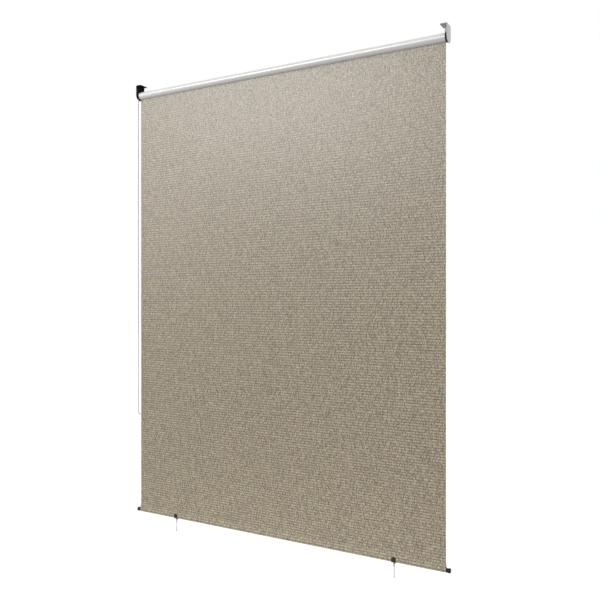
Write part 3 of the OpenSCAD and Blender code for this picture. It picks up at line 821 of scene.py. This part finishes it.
@dataclass
class Cloth:
    """The knitted panel between the tube and the hem, in metres.

    Attributes:
        rise: How far a row stands out from the sheet.
        ragged: Share of the rise that a stitch can lack.
        tuck: How far the side edges are drawn in between rows.
        edge_share: Share of the width past which a place is on a side edge.
        top: Height of the upper edge, which is in the tube.
        plain_until: Height under which the rows have their full rise.
        lift: How far the bottom rail can rise; not used.
    """

    width: float = CLOTH_WIDTH
    thickness: float = 0.0009
    row_pitch: float = ROW_PITCH
    rise: float = ROW_RISE
    ragged: float = 0.55
    tuck: float = 0.0008
    edge_share: float = 0.4999
    top: float = -0.071
    half_rows: int = 362
    columns: int = CLOTH_COLUMNS
    plain_until: float = -0.0765
    tube_radius: float = 0.02
    lift: float = 2.24

    @property
    def tube_bottom(self) -> float:
        """Height of the tube's lowest line."""
        return ROLLER_Z - self.tube_radius

    @property
    def height(self) -> float:
        """Height of the panel."""
        return self.half_rows * self.row_pitch / 2.0

    def sheet(self, rule: GeometryTree, width: Socket, top: Socket) -> Socket:
        """Hangs the flat sheet that the rows are raised on.

        Args:
            rule: The panel's tree.
            width: Width of the panel.
            top: Height of its upper edge.

        Returns:
            The sheet's mesh.
        """
        height = rule.given("Height", self.height)
        flat = rule.node("GeometryNodeMeshCube", {
            "Size": rule.vector(width, rule.given("Thickness", self.thickness), height),
            "Vertices X": rule.given("Columns", self.columns + 1),
            "Vertices Y": 2,
            "Vertices Z": rule.given("Half rows", self.half_rows + 1),
        })
        middle = rule.math("SUBTRACT", top, rule.math("DIVIDE", height, 2.0))
        hung = rule.node("GeometryNodeTransform", {
            "Geometry": flat.outputs["Mesh"], "Translation": rule.vector(0.0, 0.0, middle)})
        return hung.outputs[0]

    def swell(self, rule: GeometryTree, up: Socket, crest: Socket) -> Socket:
        """Finds how far the rows stand out: each stitch by its own amount, and none against the tube.

        Args:
            rule: The panel's tree.
            up: Height of the place.
            crest: 1 on a row's crest and 0 between rows.

        Returns:
            The distance from the flat sheet.
        """
        seed = rule.given("Seed", SEED)
        chance = rule.node("FunctionNodeRandomValue", {"Seed": seed}, data_type="FLOAT").outputs[1]
        uneven = rule.math("MULTIPLY", chance, rule.given("Ragged", self.ragged))
        loose = rule.math("SUBTRACT", 1.0, uneven)
        free = rule.ramp(up, self.plain_until, self.tube_bottom, 1.0, 0.0)
        rise = rule.math("MULTIPLY", rule.given("Rise", self.rise), free)
        return rule.math("MULTIPLY", rule.math("MULTIPLY", crest, loose), rise)

    def draw_in(self, rule: GeometryTree, across: Socket, crest: Socket, width: Socket) -> Socket:
        """Finds how far the side edges are drawn in between rows.

        Args:
            rule: The panel's tree.
            across: Place across the panel.
            crest: 1 on a row's crest and 0 between rows.
            width: Width of the panel.

        Returns:
            The distance outwards, which is below 0 on the side edges.
        """
        reach = rule.math("MULTIPLY", width, self.edge_share)
        edge = rule.math("GREATER_THAN", rule.math("ABSOLUTE", across), reach)
        inward = rule.math("MULTIPLY", edge, rule.math("MULTIPLY", rule.given("Tuck", self.tuck), -1.0))
        return rule.math("MULTIPLY", rule.math("SUBTRACT", 1.0, crest), inward)

    def tree(self, material: bpy.types.Material) -> GeometryTree:
        """Builds the rule of the panel: a thin sheet whose rows rise and fall.

        Args:
            material: The cloth's finish.

        Returns:
            The tree, ready to run.
        """
        rule = GeometryTree("knitted_panel")
        width = rule.given("Width", self.width)
        top = rule.given("Top", self.top)
        sheet = self.sheet(rule, width, top)
        across, depth, up = rule.parts(rule.node("GeometryNodeInputPosition").outputs[0])
        below = rule.math("SUBTRACT", top, up)
        half_rows = rule.math("DIVIDE", below, rule.given("Half row", self.row_pitch / 2.0))
        crest = rule.math("SUBTRACT", 1.0, rule.math("PINGPONG", half_rows, 1.0))
        aside = rule.math("MULTIPLY", rule.math("SIGN", across), self.draw_in(rule, across, crest, width))
        outward = rule.math("MULTIPLY", rule.math("SIGN", depth), self.swell(rule, up, crest))
        knitted = rule.node("GeometryNodeSetPosition", {
            "Geometry": sheet, "Offset": rule.vector(aside, outward)})
        mapped = rule.node("GeometryNodeStoreNamedAttribute", {
            "Geometry": knitted.outputs[0], "Name": ROW_MAP, "Value": rule.vector(across, below),
        }, data_type="FLOAT2", domain="CORNER")
        rule.finish(mapped.outputs[0], material)
        return rule

    def build(self, material: bpy.types.Material) -> bpy.types.Object:
        """Makes the panel and hangs it on the mounts.

        Args:
            material: The cloth's finish.

        Returns:
            The panel.
        """
        panel = self.tree(material).run("cloth_panel", bpy.data.meshes.new("cloth_panel"))
        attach(panel, Body.MOUNTS.value)
        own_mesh(panel)
        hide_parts("cloth")
        return panel


@dataclass
class Hem:
    """The pocket of cloth around the bottom bar, in metres.

    Attributes:
        seam: Height of the seam over the bar's axis.
        join: Height over which the two walls are joined at the seam.
        half_top: Half the width at the seam.
        inner_half_top: Half the width of the room inside, under the join.
        ragged: Share of the rise that a stitch can lack.
        lean: Share of the height that the rows' way outwards leaves out over the bar.
        level_over: Height over the bar's axis from which the rows stand out level.
        map_start: Place of the seam across the rows, counted from the panel's top.
    """

    width: float = CLOTH_WIDTH
    bar_z: float = -2.364
    seam: float = 0.030
    join: float = 0.005
    outer: float = 0.0102
    inner: float = 0.0093
    half_top: float = 0.0009
    inner_half_top: float = 0.00005
    row_pitch: float = ROW_PITCH
    rise: float = ROW_RISE
    ragged: float = 0.5
    lean: float = 0.3
    level_over: float = 0.02
    half_points: int = 16
    columns: int = CLOTH_COLUMNS
    map_start: float = 2.263

    def half_outline(self, radius: float, top: float, half_top: float) -> list[Point]:
        """Follows one side of the pocket from its seam to its lowest point.

        Args:
            radius: Radius round the bar.
            top: Height of the seam over the bar's axis.
            half_top: Half the width at the seam.

        Returns:
            Depth to the back, height over the bar's axis and length from the seam, for each point.
        """
        turn = math.acos(radius / top)
        flank = math.sqrt(top * top - radius * radius)
        whole = flank + radius * (math.pi - turn)
        points = []
        for i in range(self.half_points + 1):
            s = whole * i / self.half_points
            angle = turn + max(0.0, s - flank) / radius
            left = max(0.0, flank - s)
            depth = radius * math.sin(angle) - left * math.cos(turn) + half_top * left / flank
            points.append((depth, radius * math.cos(angle) + left * math.sin(turn), s))
        return points

    def loop(self, radius: float, top: float, half_top: float) -> list[Point]:
        """Gives the whole outline, from the front of the seam round the bar to its back."""
        back = self.half_outline(radius, top, half_top)
        return [(-y, z, s) for y, z, s in back] + back[-2::-1]

    def swell(self, y: float, z: float, s: float) -> Vector:
        """Finds which way and how far a row stands out.

        Args:
            y: Depth of the place.
            z: Its height over the bar's axis.
            s: Its length from the seam.

        Returns:
            Depth and height of the way outwards, at most as long as 1.
        """
        crest = 0.5 + 0.5 * math.cos(FULL_TURN * s / self.row_pitch)
        way = Vector((y, z - self.lean * max(z, 0.0))).normalized()
        if z >= self.level_over:
            way.y = 0.0
        return way * crest

    def rings(
            self, work: bmesh.types.BMesh, down: dict[bmesh.types.BMVert, float],
    ) -> list[list[bmesh.types.BMVert]]:
        """Sets the corners of the pocket, ring by ring along the bar.

        Args:
            work: The pocket's mesh.
            down: Gets the place of each corner across the rows.

        Returns:
            The rings, each with the outside first and then the inside.
        """
        chance = np.random.default_rng(SEED)
        outside = self.loop(self.outer, self.seam, self.half_top)
        inside = self.loop(self.inner, self.seam - self.join, self.inner_half_top)
        rings = []
        for x in np.linspace(-self.width / 2.0, self.width / 2.0, self.columns + 1):
            ring = []
            for outline, rise in ((outside, self.rise), (inside, 0.0)):
                loose = 1.0 - self.ragged * chance.random(len(outline))
                for (y, z, s), share in zip(outline, loose):
                    away = self.swell(y, z, s) * (rise * share)
                    vert = work.verts.new((x, y + away.x, self.bar_z + z + away.y))
                    down[vert] = self.map_start + s
                    ring.append(vert)
            rings.append(ring)
        return rings

    @staticmethod
    def skin(work: bmesh.types.BMesh, rings: list[list[bmesh.types.BMVert]]) -> None:
        """Closes the walls between the rings and the pocket's two ends.

        Args:
            work: The pocket's mesh.
            rings: Its corners, ring by ring.
        """
        count = len(rings[0]) // 2
        steps = [(i, (i + 1) % count) for i in range(count)]
        for here, there in zip(rings, rings[1:]):
            for i, j in steps:
                work.faces.new((here[i], there[i], there[j], here[j]))
                work.faces.new((here[count + j], there[count + j], there[count + i], here[count + i]))
        for ring in (rings[0], rings[-1]):
            for i, j in steps:
                work.faces.new((ring[i], ring[j], ring[count + j], ring[count + i]))
        bmesh.ops.recalc_face_normals(work, faces=work.faces)

    def build(self, material: bpy.types.Material) -> bpy.types.Object:
        """Makes the pocket with its rows.

        Args:
            material: The cloth's finish.

        Returns:
            The pocket.
        """
        work = bmesh.new()
        layer = work.loops.layers.uv.new(ROW_MAP)
        down: dict[bmesh.types.BMVert, float] = {}
        self.skin(work, self.rings(work, down))
        for edge in work.edges:
            edge.smooth = edge.calc_face_angle(0.0) < SHARP_FROM
        for face in work.faces:
            face.smooth = True
            for corner in face.loops:
                corner[layer].uv = (corner.vert.co.x, down[corner.vert])
        mesh = bpy.data.meshes.new("hem_cloth")
        work.to_mesh(mesh)
        work.free()
        mesh.materials.append(material)
        pocket = link_object("hem_cloth", mesh)
        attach(pocket, Body.BOTTOM_RAIL.value)
        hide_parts("hem_pocket")
        return pocket


@dataclass
class BeadChain:
    """The endless chain that turns the roller, in metres.

    Attributes:
        plane: Place of the loop along the roller.
        run: Length of each straight run.
        pockets: How many beads the wheel takes in one turn.
        pitch: Distance from bead to bead.
    """

    plane: float = -0.8806
    axis_z: float = ROLLER_Z
    run: float = 1.764
    pockets: int = 8
    pitch: float = 0.012
    bead: float = 0.005
    bead_sides: int = 10
    bead_rings: int = 7
    cord: float = 0.0018
    cord_sides: int = 8
    bend_points: int = 24

    @property
    def radius(self) -> float:
        """Radius of the bends, at which the beads sit in the wheel's pockets."""
        return self.pockets * self.pitch / FULL_TURN

    def path(self) -> list[Point]:
        """Follows the loop from the front run's top bead down and round.

        Returns:
            The points of the loop.
        """
        points = [(self.plane, -self.radius, self.axis_z)]
        for centre, start in ((self.axis_z - self.run, math.pi), (self.axis_z, 0.0)):
            for i in range(self.bend_points + 1):
                angle = start + math.pi * i / self.bend_points
                points.append((
                    self.plane, self.radius * math.cos(angle), centre + self.radius * math.sin(angle)))
        return points[:-1]

    def build(self, material: bpy.types.Material) -> bpy.types.Object:
        """Strings the beads on their cord.

        Args:
            material: The chain's finish.

        Returns:
            The chain.
        """
        beads = round(2.0 * self.run / self.pitch) + self.pockets
        rule = GeometryTree("bead_chain_rule")
        path = rule.carried_path()
        places = rule.node("GeometryNodeResampleCurve", {
            "Curve": path, "Count": rule.given("Beads", beads)}, mode="COUNT")
        ball = rule.node("GeometryNodeMeshUVSphere", {
            "Segments": self.bead_sides, "Rings": self.bead_rings,
            "Radius": rule.given("Bead radius", self.bead / 2.0)})
        marked = rule.node("GeometryNodeStoreNamedAttribute", {
            "Geometry": ball.outputs[0], "Name": BEAD_MASK, "Value": 1.0,
        }, data_type="FLOAT", domain="POINT")
        string = rule.node("GeometryNodeInstanceOnPoints", {
            "Points": places.outputs[0], "Instance": marked.outputs[0]})
        core = rule.wire(path, "Cord radius", self.cord / 2.0, self.cord_sides)
        both = rule.node("GeometryNodeJoinGeometry")
        for piece in (core, string.outputs[0]):
            rule.tree.links.new(piece, both.inputs[0])
        rule.finish(both.outputs[0], material)
        chain = rule.run("pull_chain", line_mesh("pull_chain", [self.path()], closed=True))
        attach(chain, Body.MOUNTS.value)
        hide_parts("bead_chain")
        return chain


@dataclass
class PinSpring:
    """The spring behind the sprung pin, in metres; it rides with the pin at a fixed length.

    Attributes:
        steps: Points in each turn of the wire.
        travel: How far the pin goes in; not used.
    """

    node: str = "idle_spring"
    wire: float = 0.001
    wire_sides: int = 10
    turns: int = 7
    steps: int = 24
    travel: float = 0.005

    def build(self, material: bpy.types.Material) -> bpy.types.Object:
        """Winds the spring in its node's place.

        Args:
            material: The wire's finish.

        Returns:
            The spring.
        """
        low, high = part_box(self.node)
        radius = (high[2] - low[2] - self.wire) / 2.0
        centre = (high[2] + low[2]) / 2.0
        length = high[0] - low[0]
        count = self.turns * self.steps
        points = []
        for i in range(count + 1):
            angle = FULL_TURN * i / self.steps
            along = low[0] + self.wire / 2.0 + (length - self.wire) * i / count
            points.append((along, radius * math.sin(angle), centre + radius * math.cos(angle)))
        rule = GeometryTree("pin_spring_rule")
        coil = rule.wire(rule.carried_path(), "Wire radius", self.wire / 2.0, self.wire_sides, caps=True)
        rule.finish(coil, material)
        spring = rule.run("pin_spring", line_mesh("pin_spring", [points], closed=False))
        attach(spring, Body.SPRUNG_PIN.value)
        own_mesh(spring)
        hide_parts(self.node)
        return spring


LEFT_ROUTE: tuple[Point, ...] = (
    (0.0, 0.0, -0.002), (0.0, 0.0, -0.004), (0.0, 0.0, -0.006), (0.0, 0.0, -0.009),
    (0.0, 0.0, -0.012), (0.0, 0.0, -0.015), (-0.0001, 0.0, -0.018), (-0.0002, 0.0, -0.021),
    (-0.0003, 0.0, -0.024), (-0.0005, 0.0, -0.027), (-0.0007, 0.0, -0.030), (-0.0009, 0.0, -0.033),
    (-0.0012, 0.0, -0.036), (-0.0015, 0.0, -0.040), (-0.0018, 0.0, -0.044), (-0.002, 0.0, -0.048),
)
RIGHT_ROUTE: tuple[Point, ...] = (
    (0.0, 0.0, -0.002), (0.0, 0.0, -0.004), (0.0, 0.0, -0.006), (0.0, 0.0, -0.009),
    (0.0, 0.0, -0.012), (0.0001, 0.0, -0.015), (0.0002, 0.0, -0.018), (0.0003, 0.0, -0.021),
    (0.0004, 0.0, -0.024), (0.0004, 0.0, -0.027), (0.0004, 0.0, -0.030), (0.0003, 0.0, -0.033),
    (0.0002, 0.0, -0.036), (0.0001, 0.0, -0.040), (0.0, 0.0, -0.044), (0.0, 0.0, -0.048),
)


@dataclass
class TieCord:
    """A short cord on a hook of the hem, with a knot at each end, in metres.

    Attributes:
        side: Which of the two tie-downs it is.
        route: The cord's points, counted from the hook's lowest point.
        hook_low: Height of that point.
        knot: Size of a knot.
        knot_depth: Swing of a knot's strand to front and back, in the scale of its other swings.
        knot_lap: How far a knot laps the cord's end.
    """

    side: Side
    route: tuple[Point, ...]
    hook_low: float = -2.3928
    diameter: float = 0.0026
    bevel_steps: int = 3
    knot: float = 0.0055
    knot_points: int = 60
    knot_depth: float = 1.6
    knot_sides: int = 8
    knot_lap: float = 0.001

    @property
    def label(self) -> str:
        """The side's word in names."""
        return self.side.name.lower()

    @property
    def body(self) -> str:
        """The body that the cord rides on."""
        return (Body.LEFT_TIE if self.side is Side.LEFT else Body.RIGHT_TIE).value

    def points(self) -> list[Vector]:
        """Gives the route in the frame."""
        start = Vector((self.side.value, 0.0, self.hook_low))
        return [start + Vector(p) for p in self.route]

    def build_cord(self, material: bpy.types.Material) -> bpy.types.Object:
        """Makes the cord as a curve along its route.

        Args:
            material: The cord's finish.

        Returns:
            The cord.
        """
        curve = bpy.data.curves.new(f"{self.label}_tie_line", "CURVE")
        curve.dimensions = "3D"
        curve.bevel_depth = self.diameter / 2.0
        curve.bevel_resolution = self.bevel_steps
        curve.use_fill_caps = True
        spline = curve.splines.new("POLY")
        points = self.points()
        spline.points.add(len(points) - 1)
        for place, point in zip(spline.points, points):
            place.co = (*point, 1.0)
        curve.materials.append(material)
        return link_object(f"{self.label}_tie_line", curve)

    def knot_path(self, centre: Vector) -> list[Point]:
        """Follows the strand of an overhand knot, drawn tight round its centre.

        Args:
            centre: The knot's middle.

        Returns:
            The points of the strand, which ends where it starts.
        """
        scale = (self.knot - self.diameter) / 6.0
        points = []
        for i in range(self.knot_points):
            t = FULL_TURN * i / self.knot_points
            points.append((
                centre.x + scale * (math.sin(t) + 2.0 * math.sin(2.0 * t)),
                centre.y - self.knot_depth * scale * math.sin(3.0 * t),
                centre.z + scale * (math.cos(t) - 2.0 * math.cos(2.0 * t))))
        return points

    def build_knots(self, material: bpy.types.Material) -> bpy.types.Object:
        """Ties the knot on the hook and the one at the loose end.

        Args:
            material: The cord's finish.

        Returns:
            The two knots as one piece.
        """
        points = self.points()
        on_hook = points[0] + Vector((0.0, 0.0, self.knot_lap))
        at_end = points[-1] - Vector((0.0, 0.0, self.knot / 2.0 - self.knot_lap))
        rule = GeometryTree(f"{self.label}_knot_rule")
        strand = rule.wire(rule.carried_path(), "Strand radius", self.diameter / 2.0, self.knot_sides)
        rule.finish(strand, material)
        paths = [self.knot_path(centre) for centre in (on_hook, at_end)]
        return rule.run(f"{self.label}_knot_pair", line_mesh("knot_lines", paths, closed=True))

    def build(self, material: bpy.types.Material) -> list[bpy.types.Object]:
        """Makes the cord and its knots.

        Args:
            material: The cord's finish.

        Returns:
            The cord and the knots.
        """
        line = self.build_cord(material)
        knots = self.build_knots(material)
        for piece, node in ((line, f"{self.label}_tie_cord"), (knots, f"{self.label}_tie_knots")):
            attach(piece, self.body)
            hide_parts(node)
        return [line, knots]


@dataclass
class Hardware:
    """The pieces whose shape is already right: brackets, tube, caps, clips and the parts inside."""

    nodes: dict[str, bpy.types.Object]

    NODES_BY_FINISH: ClassVar[dict[Finish, tuple[str, ...]]] = {
        Finish.BLACK: ("left_bracket", "chain_housing", "chain_wheel", "drive_crown", "idle_plug"),
        Finish.CAP: ("left_end_cap", "right_end_cap"),
        Finish.CLIP: ("left_clip", "right_clip"),
        Finish.GREY: ("right_bracket",),
        Finish.WHITE: ("clutch_post", "cloth_rod", "spring_seat"),
        Finish.TUBE: ("roller_tube",),
        Finish.ALUMINIUM: ("bottom_bar",),
        Finish.STEEL: ("post_retainer", "wrap_springs", "idle_pin"),
        Finish.HOOK: ("left_hook", "right_hook"),
    }

    def dress(self, materials: dict[Finish, bpy.types.Material]) -> None:
        """Gives each node its finish.

        Args:
            materials: Materials by finish.
        """
        for finish, names in self.NODES_BY_FINISH.items():
            for name in names:
                data = self.nodes[name].data
                data.materials.clear()
                data.materials.append(materials[finish])
                LOG.info("%s: %s", name, materials[finish].name)


@dataclass(frozen=True)
class Lamp:
    """A soft lamp: its place, aim and size in metres, and its power in watts."""

    name: str
    place: Point
    aim: Point
    size: tuple[float, float]
    power: float
    gloss_only: bool = False

    def build(self) -> None:
        """Puts the lamp into the scene."""
        light = bpy.data.lights.new(self.name, "AREA")
        light.shape = "RECTANGLE"
        light.size, light.size_y = self.size
        light.energy = self.power
        made = link_object(self.name, light)
        made.location = self.place
        made.rotation_euler = (Vector(self.aim) - Vector(self.place)).to_track_quat("-Z", "Y").to_euler()
        made.visible_diffuse = not self.gloss_only


@dataclass
class Studio:
    """Camera, light, floor and background.

    Attributes:
        camera_turn: Turn of the level camera about Z, in degrees.
        ambient: Strength of the light from all round.
        floor_glow: What the floor adds to its lit grey where it is seen, so that it is white there.
    """

    camera_place: Point = (1.7822, -2.8898, -1.1875)
    camera_turn: float = 29.51
    lens: float = 40.986
    sensor: float = 36.0
    shift_y: float = -0.002
    far_clip: float = 200.0
    ambient: float = 1.03
    floor_z: float = -3.4
    floor_size: float = 60.0
    floor_grey: float = 0.3
    floor_rough: float = 0.9
    floor_glow: float = 0.74
    lamps: tuple[Lamp, ...] = (
        Lamp("sheen", (-1.7, -2.8, 0.92), (-1.7, 0.0, -0.1), (3.4, 0.5), 166.0, gloss_only=True),
        Lamp("side", (3.3, 0.5, 0.4), (0.9, 0.0, -0.1), (1.0, 1.0), 30.0),
        Lamp("fill", (-2.4, -1.4, -0.6), (-0.6, 0.0, -1.0), (1.0, 1.0), 8.5),
        Lamp("low", (0.0, -0.7, -3.1), (0.0, 0.0, -2.36), (2.2, 0.5), 3.6),
    )

    def camera(self) -> None:
        """Sets up the camera at the photograph's place, level."""
        lens = bpy.data.cameras.new("view")
        lens.lens = self.lens
        lens.sensor_width = self.sensor
        lens.shift_y = self.shift_y
        lens.clip_end = self.far_clip
        eye = link_object("view", lens)
        eye.location = self.camera_place
        eye.rotation_euler = (math.radians(90.0), 0.0, math.radians(self.camera_turn))
        bpy.context.scene.camera = eye

    @staticmethod
    def seen_directly(graph: NodeGraph) -> Socket:
        """Tells the rays that see a surface from those that only light by it.

        Args:
            graph: The material's or the world's nodes.

        Returns:
            1 for rays from the camera, from gloss and through glass, and 0 for others.
        """
        path = graph.node("ShaderNodeLightPath")
        first = graph.math("MAXIMUM", path.outputs["Is Camera Ray"], path.outputs["Is Glossy Ray"])
        return graph.math("MAXIMUM", first, path.outputs["Is Transmission Ray"])

    def background(self) -> None:
        """Makes the world: soft light from all round, white where it is seen."""
        world = bpy.data.worlds.new("studio")
        world.use_nodes = True
        graph = NodeGraph(world.node_tree)
        seen = self.seen_directly(graph)
        level = graph.math("MULTIPLY_ADD", seen, 1.0 - self.ambient, self.ambient)
        sky = graph.tree.nodes["Background"]
        sky.inputs["Color"].default_value = WHITE
        graph.feed(sky.inputs["Strength"], level)
        bpy.context.scene.world = world

    def floor(self) -> None:
        """Lays a plain floor that is white where it is seen and keeps the shadow."""
        half = self.floor_size / 2.0
        mesh = bpy.data.meshes.new("floor")
        corners = [(-half, -half), (half, -half), (half, half), (-half, half)]
        mesh.from_pydata([(x, y, self.floor_z) for x, y in corners], [], [(0, 1, 2, 3)])
        paint = Paint("pale_floor")
        grey = rgba((self.floor_grey, self.floor_grey, self.floor_grey))
        paint.look(Base_Color=grey, Roughness=self.floor_rough)
        level = paint.math("MULTIPLY", self.seen_directly(paint), self.floor_glow)
        glow = paint.node("ShaderNodeEmission", {"Color": WHITE, "Strength": level})
        both = paint.node("ShaderNodeAddShader", {0: paint.shader.outputs[0], 1: glow.outputs[0]})
        paint.feed(paint.tree.nodes["Material Output"].inputs["Surface"], both.outputs[0])
        mesh.materials.append(paint.material)
        link_object("floor", mesh)

    def build(self) -> None:
        """Sets up everything round the object."""
        self.camera()
        self.background()
        self.floor()
        for lamp in self.lamps:
            lamp.build()
        bpy.context.scene.view_settings.view_transform = "Standard"


def main() -> None:
    """Builds the scene round the frame."""
    logging.basicConfig(level=logging.INFO, format="%(name)s: %(message)s")
    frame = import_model()
    Studio().build()
    effects = Effects()
    materials = {finish: finish.value.material(effects) for finish in Finish}
    for side, route in ((Side.LEFT, LEFT_ROUTE), (Side.RIGHT, RIGHT_ROUTE)):
        for piece in TieCord(side, route).build(materials[Finish.TIE]):
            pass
    Hardware(frame["nodes"]).dress(materials)
    cloth = Cloth()
    panel = cloth.build(materials[Finish.CLOTH])
    hem = Hem().build(materials[Finish.CLOTH])
    chain = BeadChain().build(materials[Finish.CHAIN])
    spring = PinSpring().build(materials[Finish.STEEL])


if __name__ == "__main__":
    main()
